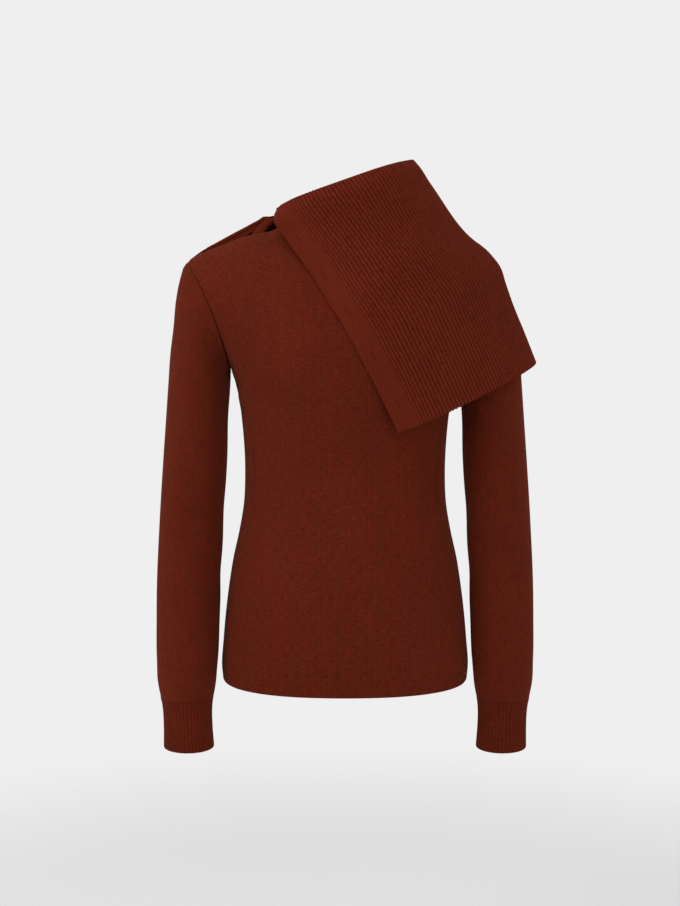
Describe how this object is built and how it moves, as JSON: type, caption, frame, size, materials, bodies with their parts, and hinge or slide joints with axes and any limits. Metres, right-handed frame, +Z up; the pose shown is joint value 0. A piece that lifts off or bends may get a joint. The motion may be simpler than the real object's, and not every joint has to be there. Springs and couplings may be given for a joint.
{
  "type": "sweater",
  "caption": "Long-sleeved fine-knit sweater in its worn shape, with ribbed cuffs and a large ribbed fold-over collar that opens on one shoulder and falls across the chest.",
  "frame": {"origin": "middle of the neck at shoulder height, where the wearer holds the sweater up", "axes": "+Z up, +X towards the wearer's left, the front faces -Y"},
  "size_m": [0.4742, 0.2384, 0.7329],
  "materials": {
    "fine_knit": "matt fine jersey knit",
    "rib_knit": "matt ribbed knit",
    "strip_knit": "matt close knit facing"
  },
  "bodies": {
    "root": {"front": "fine_knit", "back": "fine_knit", "sleeve_left": "fine_knit", "sleeve_right": "fine_knit", "cuff_left": "rib_knit", "cuff_right": "rib_knit", "collar": "rib_knit", "collar_band_front": "strip_knit", "collar_band_back": "strip_knit", "collar_band_turn": "strip_knit", "shoulder_strip": "strip_knit"}
  },
  "joints": []
}
